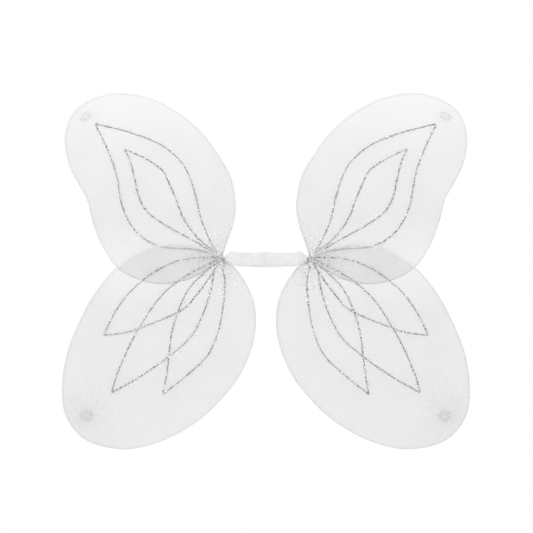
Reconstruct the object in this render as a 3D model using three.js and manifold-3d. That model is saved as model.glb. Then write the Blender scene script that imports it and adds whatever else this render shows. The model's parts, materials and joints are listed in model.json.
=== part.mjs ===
// Fairy wings: four wings of sheer nylon net on wire frames, joined by a padded band.
// Millimetres. +X is the wearer's right, +Z is up, +Y runs from the wings towards the wearer.
// The origin is the middle of the patch that rests between the wearer's shoulder blades.
// Each wing is drawn once, for the right side, and mirrored for the left.
import * as THREE from "three";
import { mergeVertices } from "three/addons/utils/BufferGeometryUtils.js";
import Module from "manifold-3d";

const wasm = await Module();
wasm.setup();

// Wings, measured along the middle of the frame wire, from the fold line and the band's middle
const upperReach = 199;
const upperRise = 202.5;
const lowerReach = 202;
const lowerDrop = 231;
const foldLine = 46; // the fold lines stand this far left and right of the middle

// Wire, net and glitter
const wireDiameter = 2;
const wireSides = 8;
const netThickness = 1;
const glitterWidth = 1.5;
const glitterThickness = 0.4;
const glitterRootRadius = 3.5;

// Tails of each wire loop, and the thread that ties the net's mouth round them
const tailStraight = 4.2;
const hairpinRadius = 2.1;
const tieWidth = 2.5;
const tieWall = 0.5;
const tieStart = 1.3; // from the fold line
const tieRounding = 0.6; // share of the ring's inner half depth
const tailGap = 0.4; // between the two tails of one loop
const layerGap = 0.8; // between the ties of an upper and a lower wing

// Gathered tips of the net tubes: half length, half width and height
const upperKnot = { length: 8, width: 5, height: 3, tilt: 0.55 };
const lowerKnot = { length: 9, width: 8, height: 3.5, tilt: 0 };

// Padded band
const bandHeight = 17.4;
const bandDepth = 14;
const bandCorner = 5;
const bandEndTaper = 3;
const bandEndRound = 6;
const sleeveWall = 1;
const crimpWidth = 8;
const crimpWall = 0.5;
const crimpPlace = 15;

// Elastic arm loops and what holds them to the band
const elasticWidth = 10;
const elasticThickness = 1.2;
const loopInner = 8; // where the two runs of a loop leave the band
const loopOuter = 32;
const loopDepth = 92;
const tapeMargin = 3;
const patchSize = 11;
const patchThickness = 1;

// Clearances
const touching = 0.3; // between pieces that touch
const foldSpace = 1; // free room for the ties to turn between the band and the fold line
const bandPassing = 1.8; // between the band and the lower frames that pass under its ends

// Worked out from the sizes above
const wireRadius = wireDiameter / 2;
const tailOffset = wireRadius + tailGap / 2;
const tieHalfDepth = wireRadius + touching + tieWall;
const tieHalfHeight = tailOffset + tieHalfDepth;
const wirePlane = tieHalfDepth + layerGap / 2;
const bandHalfLength = foldLine - wirePlane - tieHalfDepth - foldSpace;
const sleeveRear = -(patchThickness + touching + elasticThickness + touching);
const bandMiddle = sleeveRear - bandDepth / 2;
const endTaper = Math.min(bandEndTaper, 0.75 * (bandCorner - sleeveWall - touching));

const materials = {
  wire: new THREE.MeshStandardMaterial({ color: 0xe4e4e2, roughness: 0.45, metalness: 0.6 }),
  net: new THREE.MeshStandardMaterial({ color: 0xf4f4f4, roughness: 0.8, transparent: true, opacity: 0.5 }),
  glitter: new THREE.MeshStandardMaterial({ color: 0xb4b6ba, roughness: 0.3, metalness: 0.9 }),
  knot: new THREE.MeshStandardMaterial({ color: 0xe6e6e6, roughness: 0.85 }),
  thread: new THREE.MeshStandardMaterial({ color: 0xf0f0ee, roughness: 0.9 }),
  sleeve: new THREE.MeshStandardMaterial({ color: 0xf2f2f2, roughness: 0.9 }),
  foam: new THREE.MeshStandardMaterial({ color: 0xf4efe0, roughness: 1 }),
  crimp: new THREE.MeshStandardMaterial({ color: 0xa9abae, roughness: 0.4, metalness: 1 }),
  elastic: new THREE.MeshStandardMaterial({ color: 0xf2f2f0, roughness: 0.85 }),
  felt: new THREE.MeshStandardMaterial({ color: 0xf5f5f3, roughness: 1 }),
};

// A closed geometry as a solid that can be joined and cut
function solid(geometry) {
  const bare = geometry.clone();
  bare.deleteAttribute("normal");
  bare.deleteAttribute("uv");
  const merged = mergeVertices(bare);
  const vertProperties = new Float32Array(merged.attributes.position.array);
  const triVerts = new Uint32Array(merged.index.array);
  return new wasm.Manifold(new wasm.Mesh({ numProp: 3, vertProperties, triVerts }));
}

// A joined or cut solid as a geometry again
function geometryOf(made) {
  const mesh = made.getMesh();
  const geometry = new THREE.BufferGeometry();
  geometry.setAttribute("position", new THREE.BufferAttribute(mesh.vertProperties, 3));
  geometry.setIndex(new THREE.BufferAttribute(mesh.triVerts, 1));
  geometry.computeVertexNormals();
  return geometry;
}

function piece(name, geometry, material) {
  const mesh = new THREE.Mesh(geometry, material);
  mesh.name = name;
  return mesh;
}

// Points of a flat drawing, [outward, up], on the wing's own plane
function onWing(points) {
  return points.map(([out, up]) => new THREE.Vector3(out, 0, up));
}

function stretched(points, wing) {
  const across = wing.reach / wing.drawnReach;
  const along = wing.height / wing.drawnHeight;
  return points.map(([out, up]) => [out * across, up * along]);
}

function smoothPath(points) {
  const path = new THREE.CatmullRomCurve3(points, false, "catmullrom", 0.5);
  // Steps are shared out by points, not by length, so tight bends get as many as long sides
  path.getUtoTmapping = (u) => u;
  return path;
}

function polygonSection(radius, sides) {
  const corners = [];
  for (let i = 0; i < sides; i++) {
    const angle = ((i + 0.5) / sides) * 2 * Math.PI;
    corners.push(new THREE.Vector2(radius * Math.cos(angle), radius * Math.sin(angle)));
  }
  return new THREE.Shape(corners);
}

// A rectangle, first size across the flat path's plane and second size in it
function ribbonSection(across, inPlane) {
  const a = across / 2;
  const b = inPlane / 2;
  const corners = [[-a, -b], [a, -b], [a, b], [-a, b]];
  return new THREE.Shape(corners.map(([x, y]) => new THREE.Vector2(x, y)));
}

function sweep(section, points, stepsBetween = 2) {
  const steps = (points.length - 1) * stepsBetween;
  return new THREE.ExtrudeGeometry(section, { steps, extrudePath: smoothPath(points) });
}

function roundedRectangle(halfWidth, halfHeight, radius, Kind = THREE.Shape) {
  const shape = new Kind();
  const w = halfWidth - radius;
  const h = halfHeight - radius;
  shape.moveTo(halfWidth, -h);
  shape.absarc(w, h, radius, 0, 0.5 * Math.PI);
  shape.absarc(-w, h, radius, 0.5 * Math.PI, Math.PI);
  shape.absarc(-w, -h, radius, Math.PI, 1.5 * Math.PI);
  shape.absarc(w, -h, radius, 1.5 * Math.PI, 2 * Math.PI);
  return shape;
}

// Turns a geometry drawn in X (to -Z), Y and depth so that its depth runs along X
function alongX(geometry) {
  return geometry.rotateY(Math.PI / 2);
}

// A ring of rounded rectangular section, centred on x = 0
function flatRing(width, innerHeight, innerDepth, wall) {
  const corner = tieRounding * innerDepth;
  const shape = roundedRectangle(innerHeight + wall, innerDepth + wall, corner + wall);
  shape.holes.push(roundedRectangle(innerHeight, innerDepth, corner, THREE.Path));
  const ring = new THREE.ExtrudeGeometry(shape, { depth: width, bevelEnabled: false, curveSegments: 2 });
  return alongX(ring.translate(0, 0, -width / 2));
}

// A bar along X of rounded section whose ends narrow in a round, as stuffed cloth does
function pillowBar(halfLength, halfHeight, halfDepth, corner) {
  const straight = 2 * (halfLength - bandEndRound);
  const bar = new THREE.ExtrudeGeometry(roundedRectangle(halfHeight, halfDepth, corner), {
    depth: straight,
    bevelThickness: bandEndRound,
    bevelSize: endTaper,
    bevelOffset: -endTaper,
    bevelSegments: 3,
    curveSegments: 3,
  });
  return alongX(bar.translate(0, 0, -straight / 2));
}

// The wing outlines follow the frame wire from the inner tail round to the other tail.
// They are drawn outward from the fold line and up from the band's middle.
const upperWing = {
  reach: upperReach,
  height: upperRise,
  drawnReach: 199,
  drawnHeight: 202.5,
  plane: wirePlane,
  outline: [
    [3, 20], [-5, 44], [-7.8, 68], [-2, 100], [13, 127], [34, 155], [62, 178.7],
    [96, 196], [134, 202.5], [166, 195.5], [189, 178.5], [199, 150], [194.3, 117],
    [182.7, 93.5], [171.5, 72], [165.5, 48], [154.5, 19], [136, -8.5],
    [110, -24], [79, -29.5], [47, -23], [20, -8],
  ],
  rootUp: [[0, tailOffset], [tailStraight, tailOffset], [7.6, 5]],
  rootDown: [[8, -tailOffset - 1], [tailStraight, -tailOffset], [0, -tailOffset]],
  knotPlace: [174, 175],
  knot: upperKnot,
  glitterRoot: [14, 4],
  leaves: [
    [
      [[22, 22], [33, 48], [39, 74], [46, 97], [57, 118], [81, 139], [117, 154], [163, 166]],
      [[24, 8], [46, 12.5], [84, 16], [112, 33], [129, 63], [137, 104], [148, 135], [163, 166]],
    ],
    [
      [[33, 22], [48, 39], [57, 54.5], [63.5, 72], [72, 92], [81, 109], [101, 123], [127, 135]],
      [[28, 14], [41, 22], [74, 40], [98, 57], [109, 75], [114, 96], [120, 120], [127, 135]],
    ],
  ],
};

const lowerWing = {
  reach: lowerReach,
  height: lowerDrop,
  drawnReach: 202,
  drawnHeight: 231,
  plane: -wirePlane,
  outline: [
    [32, 13], [65, 18.7], [100, 11.3], [135, -10], [162, -41.8], [182.5, -80],
    [196.2, -116], [202, -155], [197, -192], [172, -220.7], [127, -231], [83, -221.5],
    [42, -199.7], [12, -173.3], [-13.5, -140.5], [-29, -103], [-32.5, -69],
    [-26, -40.5],
  ],
  rootUp: [[0, tailOffset], [tailStraight, tailOffset], [9, tailOffset + 1.8]],
  rootDown: [
    [-8, -bandHeight / 2 - bandPassing - wireRadius],
    [tailStraight, -tailOffset - 2 * hairpinRadius],
    [tailStraight + hairpinRadius, -tailOffset - hairpinRadius],
    [tailStraight, -tailOffset],
    [0, -tailOffset],
  ],
  knotPlace: [173, -191],
  knot: lowerKnot,
  glitterRoot: [14, -2],
  leaves: [
    [
      [[24, 2.5], [46, 1], [67, -4], [94, -18], [122, -42], [142, -71], [152, -93]],
      [[20, -18], [29, -31], [40, -45], [50, -57], [64, -66], [95, -79], [124, -89], [152, -93]],
    ],
    [
      [[38, -12.5], [67, -31], [88, -52], [106, -79], [122, -108], [136, -141], [142.5, -163]],
      [[17, -14], [21.5, -38], [31, -67], [46, -95], [75.5, -121], [112, -146], [142.5, -163]],
    ],
    [
      [[31, -18], [48, -36], [60, -60], [69, -90], [73, -122], [76, -145], [80, -165]],
      [[7, -14], [4, -30], [6, -55], [12, -87], [25, -117], [52, -143], [80, -165]],
    ],
  ],
};

function wirePoints(wing) {
  return onWing([...wing.rootUp, ...stretched(wing.outline, wing), ...wing.rootDown]);
}

function frameWire(wing) {
  return sweep(polygonSection(wireRadius, wireSides), wirePoints(wing));
}

// The net fills its loop as a thin plate, seated against the wire and clear of the tie
function netPanel(wing) {
  const points = wirePoints(wing);
  const edge = smoothPath(points).getPoints(2 * (points.length - 1));
  const shape = new THREE.Shape(edge.map((p) => new THREE.Vector2(p.x, p.z)));
  const plate = new THREE.ExtrudeGeometry(shape, { depth: netThickness, bevelEnabled: false });
  plate.rotateX(Math.PI / 2).translate(0, netThickness / 2, 0);
  const wireSeat = sweep(polygonSection(wireRadius + touching, wireSides), points);
  const tieEnd = tieStart + tieWidth + touching;
  const tieRoom = new THREE.BoxGeometry(2 * tieEnd, 2 * netThickness, 2 * tieHalfHeight);
  return geometryOf(solid(plate).subtract(solid(wireSeat)).subtract(solid(tieRoom)));
}

// Glitter lines run from one root to the tip of each leaf and back, on the front of the net
function glitterPattern(wing) {
  const section = ribbonSection(glitterThickness, glitterWidth);
  const root = stretched([wing.glitterRoot], wing)[0];
  const disc = new THREE.CylinderGeometry(glitterRootRadius, glitterRootRadius, glitterThickness, 12);
  let pattern = solid(disc.translate(root[0], 0, root[1]));
  for (const side of wing.leaves.flat()) {
    const points = stretched([wing.glitterRoot, ...side], wing);
    pattern = pattern.add(solid(sweep(section, onWing(points))));
  }
  const inFront = netThickness / 2 + touching + glitterThickness / 2;
  return geometryOf(pattern).translate(0, -inFront, 0);
}

// A flattened knob of gathered net, behind the panel
function tipKnot(wing) {
  const { length, width, height, tilt } = wing.knot;
  const [out, up] = stretched([wing.knotPlace], wing)[0];
  const half = [[0, 0], [0.9, 0], [1, 0.25], [0.75, 0.7], [0.3, 1], [0, 1]];
  const knob = new THREE.LatheGeometry(half.map(([r, y]) => new THREE.Vector2(r, y)), 12);
  knob.scale(length, height, width).rotateY(tilt);
  return knob.translate(out, netThickness / 2 + touching, up);
}

function rootTie() {
  const ring = flatRing(tieWidth, tailOffset + wireRadius + touching, wireRadius + touching, tieWall);
  return ring.translate(tieStart + tieWidth / 2, 0, 0);
}

function wingGroup(name, wing) {
  const group = new THREE.Group();
  group.position.y = wing.plane;
  group.add(piece(name + "_frame_wire", frameWire(wing), materials.wire));
  group.add(piece(name + "_net", netPanel(wing), materials.net));
  group.add(piece(name + "_glitter", glitterPattern(wing), materials.glitter));
  group.add(piece(name + "_tip_knot", tipKnot(wing), materials.knot));
  group.add(piece(name + "_root_tie", rootTie(), materials.thread));
  return group;
}

// The cloth tube of the band: open at both ends where the wires come out
function bandSleeve() {
  const outer = pillowBar(bandHalfLength, bandHeight / 2, bandDepth / 2, bandCorner);
  const inner = pillowBar(
    bandHalfLength - sleeveWall,
    bandHeight / 2 - sleeveWall,
    bandDepth / 2 - sleeveWall,
    bandCorner - sleeveWall,
  );
  return geometryOf(solid(outer).subtract(solid(inner)).subtract(solid(wireChannel())));
}

// Room for the wires and their crimps right through the band
function wireChannel() {
  const height = tailOffset + wireRadius + 2 * touching + crimpWall;
  const depth = wirePlane + wireRadius + 2 * touching + crimpWall;
  return new THREE.BoxGeometry(2 * foldLine, 2 * depth, 2 * height);
}

function foamCore() {
  const inset = sleeveWall + touching;
  const core = pillowBar(
    bandHalfLength - inset,
    bandHeight / 2 - inset,
    bandDepth / 2 - inset,
    bandCorner - inset,
  );
  return geometryOf(solid(core).subtract(solid(wireChannel())));
}

function spineWire() {
  const rod = new THREE.CylinderGeometry(wireRadius, wireRadius, 2 * bandHalfLength, wireSides);
  return rod.rotateZ(Math.PI / 2);
}

function wireCrimp() {
  const innerHeight = tailOffset + wireRadius + touching;
  const innerDepth = wirePlane + wireRadius + touching;
  const outer = new THREE.BoxGeometry(
    crimpWidth,
    2 * (innerDepth + crimpWall),
    2 * (innerHeight + crimpWall),
  );
  const bore = new THREE.BoxGeometry(2 * crimpWidth, 2 * innerDepth, 2 * innerHeight);
  return geometryOf(solid(outer).subtract(solid(bore)));
}

function bandGroup() {
  const group = new THREE.Group();
  group.position.y = bandMiddle;
  group.add(piece("band_sleeve", bandSleeve(), materials.sleeve));
  group.add(piece("foam_core", foamCore(), materials.foam));
  for (const [pair, y] of [["upper", wirePlane], ["lower", -wirePlane]]) {
    for (const [place, z] of [["top", tailOffset], ["bottom", -tailOffset]]) {
      const wire = piece(pair + "_spine_wire_" + place, spineWire(), materials.wire);
      wire.position.set(0, y, z);
      group.add(wire);
    }
  }
  for (const [side, x] of [["left", -crimpPlace], ["right", crimpPlace]]) {
    const crimp = piece(side + "_wire_crimp", wireCrimp(), materials.crimp);
    crimp.position.x = x;
    group.add(crimp);
  }
  return group;
}

// The elastic's sewn stretch, on the back of the band, and the patch over the place where it joins
function anchorTape() {
  const length = 2 * (loopOuter + tapeMargin);
  return new THREE.BoxGeometry(length, elasticThickness, elasticWidth);
}

function backPatch() {
  const half = patchSize / 2;
  const shape = roundedRectangle(half, half, 2);
  const patch = new THREE.ExtrudeGeometry(shape, {
    depth: patchThickness,
    bevelEnabled: false,
    curveSegments: 3,
  });
  return patch.rotateX(Math.PI / 2);
}

// An arm loop stands on edge behind the band; its ends are round so that it can swing
const loopHinge = -patchThickness + elasticWidth / 2;

function armLoop() {
  const points = [
    [loopInner, 0], [loopInner, 0.2 * loopDepth], [loopInner - 2, 0.5 * loopDepth],
    [loopInner - 1.5, 0.78 * loopDepth], [loopInner + 4, 0.95 * loopDepth],
    [(loopInner + loopOuter) / 2, loopDepth],
    [loopOuter - 4, 0.95 * loopDepth], [loopOuter + 1, 0.78 * loopDepth],
    [loopOuter + 0.5, 0.5 * loopDepth], [loopOuter, 0.2 * loopDepth], [loopOuter, 0],
  ];
  const section = ribbonSection(elasticWidth, elasticThickness);
  let loop = solid(sweep(section, points.map(([x, y]) => new THREE.Vector3(x, y, 0))));
  const radius = elasticWidth / 2;
  for (const x of [loopInner, loopOuter]) {
    const end = new THREE.CylinderGeometry(radius, radius, elasticThickness, 16);
    loop = loop.add(solid(end.rotateZ(Math.PI / 2).translate(x, 0, 0)));
  }
  return geometryOf(loop);
}

const fairyWings = new THREE.Group();
fairyWings.add(bandGroup());

const tape = piece("strap_tape", anchorTape(), materials.elastic);
tape.position.y = sleeveRear + touching + elasticThickness / 2;
fairyWings.add(tape);
fairyWings.add(piece("back_patch", backPatch(), materials.felt));

for (const [side, sign] of [["left", -1], ["right", 1]]) {
  const wings = new THREE.Group();
  wings.position.set(sign * foldLine, bandMiddle, 0);
  wings.scale.x = sign;
  wings.add(wingGroup(side + "_upper", upperWing));
  wings.add(wingGroup(side + "_lower", lowerWing));
  fairyWings.add(wings);

  const straps = new THREE.Group();
  straps.position.y = loopHinge;
  straps.scale.x = sign;
  straps.add(piece(side + "_arm_loop", armLoop(), materials.elastic));
  fairyWings.add(straps);
}

export default fairyWings;
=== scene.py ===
# Fairy wings: sheer nylon net on white wire frames, glitter leaf outlines, a padded band and
# elastic arm loops. Metres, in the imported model's frame: +X is the wearer's right, +Z is up and
# +Y runs from the wings towards the wearer. Drawings of the wings are in millimetres.
import json
import math

import bmesh
import bpy
import numpy as np
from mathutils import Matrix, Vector


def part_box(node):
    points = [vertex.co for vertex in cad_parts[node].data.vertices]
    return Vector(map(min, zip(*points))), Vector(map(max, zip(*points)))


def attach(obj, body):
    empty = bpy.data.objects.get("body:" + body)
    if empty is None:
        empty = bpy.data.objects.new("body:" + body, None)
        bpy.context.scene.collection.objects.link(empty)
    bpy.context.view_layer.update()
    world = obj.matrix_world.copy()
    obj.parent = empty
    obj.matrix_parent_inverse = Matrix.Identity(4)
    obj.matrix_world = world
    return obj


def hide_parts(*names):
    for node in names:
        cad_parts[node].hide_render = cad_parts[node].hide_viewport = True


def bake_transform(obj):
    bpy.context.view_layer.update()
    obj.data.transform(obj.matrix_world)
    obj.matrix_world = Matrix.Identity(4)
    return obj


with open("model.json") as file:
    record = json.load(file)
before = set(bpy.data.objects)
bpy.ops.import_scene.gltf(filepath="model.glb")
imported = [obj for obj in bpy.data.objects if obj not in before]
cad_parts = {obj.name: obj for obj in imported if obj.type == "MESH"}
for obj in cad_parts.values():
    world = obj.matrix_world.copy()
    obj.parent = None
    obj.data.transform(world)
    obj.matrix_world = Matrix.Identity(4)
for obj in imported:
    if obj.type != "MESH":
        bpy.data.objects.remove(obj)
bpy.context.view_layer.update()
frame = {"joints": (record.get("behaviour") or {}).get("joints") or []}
MM = 0.001

# ---------------------------------------------------------------- sizes taken from the frame

fold = next(j["pos_m"] for j in frame["joints"] if j["name"] == "right_wing_fold")
FOLD_LINE = fold[0]
BAND_MIDDLE = fold[1]


def middle(node, axis):
    low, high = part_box(node)
    return (low[axis] + high[axis]) / 2


def extent(node, axis):
    low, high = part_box(node)
    return high[axis] - low[axis]


WIRE_RADIUS = extent("upper_spine_wire_top", 2) / 2
TAIL_OFFSET = abs(middle("upper_spine_wire_top", 2)) / MM
NET_RADIUS = WIRE_RADIUS + 0.25 * MM  # the net wraps the wire at this radius
PLANE = {kind: middle(f"right_{kind}_net", 1) for kind in ("upper", "lower")}
BAND_HEIGHT = extent("band_sleeve", 2)
BAND_DEPTH = extent("band_sleeve", 1)

# ---------------------------------------------------------------- drawings of the wings

# Millimetres outward from the fold line and up from the band's middle, along the frame wire
# from its upper tail round to its lower tail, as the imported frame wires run.
HAIRPIN = 2.1
TAIL = 4.2
OUTLINE = {
    "upper": [
        (0, TAIL_OFFSET), (TAIL, TAIL_OFFSET), (7.6, 5),
        (3, 20), (-5, 44), (-7.8, 68), (-2, 100), (13, 127), (34, 155), (62, 178.7),
        (96, 196), (134, 202.5), (166, 195.5), (189, 178.5), (199, 150), (194.3, 117),
        (182.7, 93.5), (171.5, 72), (165.5, 48), (154.5, 19), (136, -8.5),
        (110, -24), (79, -29.5), (47, -23), (20, -8),
        (8, -TAIL_OFFSET - 1), (TAIL, -TAIL_OFFSET), (0, -TAIL_OFFSET),
    ],
    "lower": [
        (0, TAIL_OFFSET), (TAIL, TAIL_OFFSET), (9, TAIL_OFFSET + 1.8),
        (32, 13), (65, 18.7), (100, 11.3), (135, -10), (162, -41.8), (182.5, -80),
        (196.2, -116), (202, -155), (197, -192), (172, -220.7), (127, -231), (83, -221.5),
        (42, -199.7), (12, -173.3), (-13.5, -140.5), (-29, -103), (-32.5, -69),
        (-26, -40.5), (-8, -11.5),
        (TAIL, -TAIL_OFFSET - 2 * HAIRPIN), (TAIL + HAIRPIN, -TAIL_OFFSET - HAIRPIN),
        (TAIL, -TAIL_OFFSET), (0, -TAIL_OFFSET),
    ],
}
KNOT = {"upper": (174, 175), "lower": (173, -191)}
KNOT_SIZE = {"upper": (8, 5, -0.55), "lower": (8.5, 8, 0.0)}  # half length and width, tilt
HUB = (5, 1)  # where every glitter line and gather starts

# Each glitter leaf is two lines from the hub to its tip
LEAVES = {
    "upper": [
        [(14, 10), (22, 22), (33, 48), (39, 74), (46, 97), (57, 118), (81, 139), (117, 154), (163, 166)],
        [(14, 5), (24, 8), (46, 12.5), (84, 16), (112, 33), (129, 63), (137, 104), (148, 135), (163, 166)],
        [(14, 8), (33, 22), (48, 39), (57, 54.5), (63.5, 72), (72, 92), (81, 109), (101, 123), (127, 135)],
        [(14, 6), (28, 14), (41, 22), (74, 40), (98, 57), (109, 75), (114, 96), (120, 120), (127, 135)],
    ],
    "lower": [
        [(12, 1.5), (24, 2.5), (46, 1), (67, -4), (94, -18), (122, -42), (142, -71), (152, -93)],
        [(12, -6), (20, -18), (29, -31), (40, -45), (50, -57), (64, -66), (95, -79), (124, -89), (152, -93)],
        [(13, -1), (38, -12.5), (67, -31), (88, -52), (106, -79), (122, -108), (136, -141), (142.5, -163)],
        [(11, -5), (17, -14), (21.5, -38), (31, -67), (46, -95), (75.5, -121), (112, -146), (142.5, -163)],
        [(13, -4), (31, -18), (48, -36), (60, -60), (69, -90), (73, -122), (76, -145), (80, -165)],
        [(8, -8), (6, -16), (4, -30), (6, -55), (12, -87), (25, -117), (52, -143), (80, -165)],
    ],
}

SIDES = {"left": -1, "right": 1}


def on_wing(side, kind, out_up, depth=0.0):
    """Points [n, 2] of a wing's drawing, as [n, 3] in metres. Depth is towards the wearer."""
    flat = np.asarray(out_up, float).reshape(-1, 2) * MM
    placed = np.empty((len(flat), 3))
    placed[:, 0] = SIDES[side] * (FOLD_LINE + flat[:, 0])
    placed[:, 1] = PLANE[kind] + depth
    placed[:, 2] = flat[:, 1]
    return placed


def smooth(points, steps):
    """A uniform Catmull-Rom curve through the points, with this many steps between two of them."""
    p = np.asarray(points, float)
    p = np.vstack([2 * p[0] - p[1], p, 2 * p[-1] - p[-2]])
    t = np.linspace(0, 1, steps, endpoint=False)[:, None]
    made = []
    for a, b, c, d in zip(p[:-3], p[1:-2], p[2:-1], p[3:]):
        made.append(
            b + 0.5 * t * (c - a + t * (2 * a - 5 * b + 4 * c - d + t * (3 * (b - c) + d - a)))
        )
    return np.vstack(made + [p[-2:-1]])


def eased(x, start, end):
    t = np.clip((x - start) / (end - start), 0, 1)
    return t * t * (3 - 2 * t)


def lengths(line):
    """Distance along a line of points, from its start to each point."""
    return np.concatenate([[0], np.cumsum(np.linalg.norm(np.diff(line, axis=0), axis=1))])


def at(line, distances):
    """The points of a line at these distances along it."""
    along = lengths(line)
    return np.stack([np.interp(distances, along, line[:, k]) for k in range(line.shape[1])], axis=1)


# ---------------------------------------------------------------- meshes


def mesh_piece(name, points, faces, material):
    mesh = bpy.data.meshes.new(name)
    mesh.from_pydata([tuple(p) for p in points], [], [tuple(f) for f in faces])
    mesh.validate()
    mesh.materials.append(material)
    mesh.polygons.foreach_set("use_smooth", [True] * len(mesh.polygons))
    piece = bpy.data.objects.new(name, mesh)
    bpy.context.scene.collection.objects.link(piece)
    return piece


def map_piece(piece, name, places):
    """Gives a piece a UV map, from a place [n, 2] for each of its points."""
    layer = piece.data.uv_layers.new(name=name)
    corners = np.empty(len(piece.data.loops), np.int32)
    piece.data.loops.foreach_get("vertex_index", corners)
    layer.data.foreach_set("uv", places[corners].ravel())


def grid_faces(rows, columns, around=False, start=0, flip=False):
    """Quads between neighbouring rows. around joins the last column to the first."""
    faces = []
    for i in range(rows - 1):
        for j in range(columns if around else columns - 1):
            k = (j + 1) % columns
            quad = (
                start + i * columns + j,
                start + i * columns + k,
                start + (i + 1) * columns + k,
                start + (i + 1) * columns + j,
            )
            faces.append(quad[::-1] if flip else quad)
    return faces


def outward(piece):
    """Merges doubled points and turns every face of a closed mesh outwards."""
    made = bmesh.new()
    made.from_mesh(piece.data)
    bmesh.ops.remove_doubles(made, verts=made.verts, dist=1e-7)
    bmesh.ops.dissolve_degenerate(made, edges=made.edges, dist=1e-8)
    bmesh.ops.recalc_face_normals(made, faces=made.faces)
    if made.calc_volume(signed=True) < 0:
        bmesh.ops.reverse_faces(made, faces=made.faces)
    made.to_mesh(piece.data)
    made.free()
    return piece


def swept(line, section, up=(0, 1, 0), scale=1.0):
    """Points of a section [m, 2] swept along a line [n, 3]: its first axis is near up, and its
    second axis is scaled by scale, one number or one for each point of the line."""
    line = np.asarray(line, float)
    wide = np.broadcast_to(np.asarray(scale, float), len(line))
    tangent = np.gradient(line, axis=0)
    tangent /= np.linalg.norm(tangent, axis=1)[:, None]
    first = np.asarray(up, float) - (tangent @ np.asarray(up, float))[:, None] * tangent
    first /= np.linalg.norm(first, axis=1)[:, None]
    second = np.cross(tangent, first)
    return (
        line[:, None, :]
        + section[None, :, 0, None] * first[:, None, :]
        + section[None, :, 1, None] * wide[:, None, None] * second[:, None, :]
    ).reshape(-1, 3)


def swept_faces(rows, columns, start=0):
    """Faces of a closed sweep with flat ends."""
    faces = grid_faces(rows, columns, around=True, start=start)
    faces.append(tuple(start + k for k in range(columns))[::-1])
    faces.append(tuple(start + (rows - 1) * columns + k for k in range(columns)))
    return faces


def swept_piece(name, line, section, material, up=(0, 1, 0)):
    """A closed solid: a section swept along a line, with flat ends."""
    points = swept(line, section, up)
    return outward(mesh_piece(name, points, swept_faces(len(line), len(section)), material))


def within(points, outline):
    """1 for each of the points [n, 2] that lies inside the outline, else 0."""
    inside = np.zeros(len(points), bool)
    for (x0, z0), (x1, z1) in zip(outline, np.roll(outline, -1, axis=0)):
        crosses = (z0 > points[:, 1]) != (z1 > points[:, 1])
        where = x0 + (points[:, 1] - z0) * (x1 - x0) / (z1 - z0 + 1e-12)
        inside ^= crosses & (points[:, 0] < where)
    return inside.astype(float)


def squared(angle, power):
    """Cosine and sine of the angles, pushed outwards so that a circle becomes a rounded square."""
    return [np.sign(w) * np.abs(w) ** power for w in (np.cos(angle), np.sin(angle))]


def circle(radius, sides):
    angle = np.arange(sides) * 2 * math.pi / sides
    return np.stack([radius * np.cos(angle), radius * np.sin(angle)], axis=1)


# ---------------------------------------------------------------- materials


def linear(hex_colour):
    """An sRGB hex colour as linear red, green, blue and alpha."""
    channels = [int(hex_colour[i : i + 2], 16) / 255 for i in (1, 3, 5)]
    turned = [c / 12.92 if c <= 0.04045 else ((c + 0.055) / 1.055) ** 2.4 for c in channels]
    return (*turned, 1.0)


def add(tree, kind, links=None, stops=None, **settings):
    """Adds a node. Settings are its properties, or its input sockets if they are given by name
    or number in links, whose values are numbers, colours, sockets, or nodes for their first
    output. Stops are a colour ramp's places, each with its colour or its grey."""
    node = tree.nodes.new(kind)
    for key, value in settings.items():
        setattr(node, key, value)
    for key, value in (links or {}).items():
        if isinstance(value, bpy.types.Node):
            value = value.outputs[0]
        if isinstance(value, bpy.types.NodeSocket):
            tree.links.new(value, node.inputs[key])
        else:
            node.inputs[key].default_value = value
    for k, (place, colour) in enumerate(stops or []):
        if k >= len(node.color_ramp.elements):
            node.color_ramp.elements.new(place)
        element = node.color_ramp.elements[k]
        element.position = place
        element.color = colour if isinstance(colour, tuple) else (colour, colour, colour, 1)
    return node


def new_material(name):
    material = bpy.data.materials.new(name)
    material.use_nodes = True
    material.node_tree.nodes.clear()
    return material, material.node_tree


STREAK = 1 / 60  # the noise's grain along a gather's streak, in metres


def gathers(tree, uv, centre, reach, streaks):
    """Density of net drawn together at a centre, in drawing millimetres: radial streaks that
    fade out over reach."""
    middle_of = (centre[0] * MM, centre[1] * MM, 0)
    moved = add(tree, "ShaderNodeVectorMath", {0: uv, 1: middle_of}, operation="SUBTRACT")
    split = add(tree, "ShaderNodeSeparateXYZ", {0: moved}).outputs
    distance = add(tree, "ShaderNodeVectorMath", {0: moved}, operation="LENGTH").outputs["Value"]
    angle = add(tree, "ShaderNodeMath", {0: split["Y"], 1: split["X"]}, operation="ARCTAN2")
    round_it = add(tree, "ShaderNodeMath", {0: angle, 1: streaks}, operation="MULTIPLY")
    outwards = add(tree, "ShaderNodeMath", {0: distance, 1: 1 / STREAK}, operation="MULTIPLY")
    polar = add(tree, "ShaderNodeCombineXYZ", {"X": round_it, "Y": outwards})
    streak = add(
        tree, "ShaderNodeTexNoise", {"Vector": polar, "Scale": 1.0, "Detail": 3.0, "Roughness": 0.6}
    )
    contrast = add(tree, "ShaderNodeValToRGB", {"Fac": streak}, stops=[(0.4, 0.06), (0.6, 1.0)])
    spent = add(tree, "ShaderNodeMath", {0: distance, 1: -1 / (reach * MM)}, operation="MULTIPLY")
    fade = add(tree, "ShaderNodeMath", {0: spent}, operation="EXPONENT")
    return add(tree, "ShaderNodeMath", {0: fade, 1: contrast}, operation="MULTIPLY")


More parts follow.
